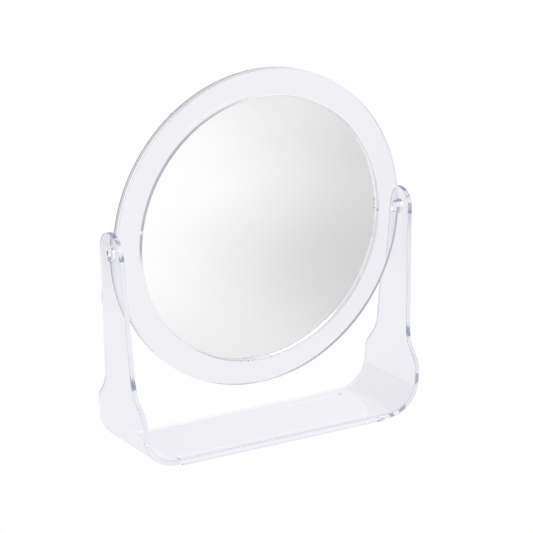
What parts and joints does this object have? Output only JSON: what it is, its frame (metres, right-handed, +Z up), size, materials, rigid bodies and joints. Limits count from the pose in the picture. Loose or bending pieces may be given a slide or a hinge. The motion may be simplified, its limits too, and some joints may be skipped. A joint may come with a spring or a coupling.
{
  "type": "countertop mirror",
  "caption": "Round mirror in a clear plastic ring, swivelling between the uprights of a clear one-piece bent stand, for trying things on at a counter.",
  "frame": {"origin": "on the counter, under the middle of the base, at the middle of the object's box", "axes": "+X along the swivel axis to the object's right as seen from the front; the mirror faces -Y; +Z up"},
  "size_m": [0.186, 0.0516, 0.2053],
  "materials": {
    "clear_plastic": "clear, gloss, polished edges",
    "silvered_glass": "float glass, silvered and painted on the back",
    "adhesive_foam": "double-sided adhesive foam, off-white"
  },
  "bodies": {
    "stand": {"stand": "clear_plastic"},
    "mirror_head": {"mirror_ring": "clear_plastic", "mirror_glass": "silvered_glass", "adhesive_pad": "adhesive_foam"}
  },
  "joints": [
    {"name": "mirror_swivel", "type": "hinge", "parent": "stand", "child": "mirror_head", "pos_m": [0, 0, 0.116], "axis": [1, 0, 0], "continuous": true}
  ]
}
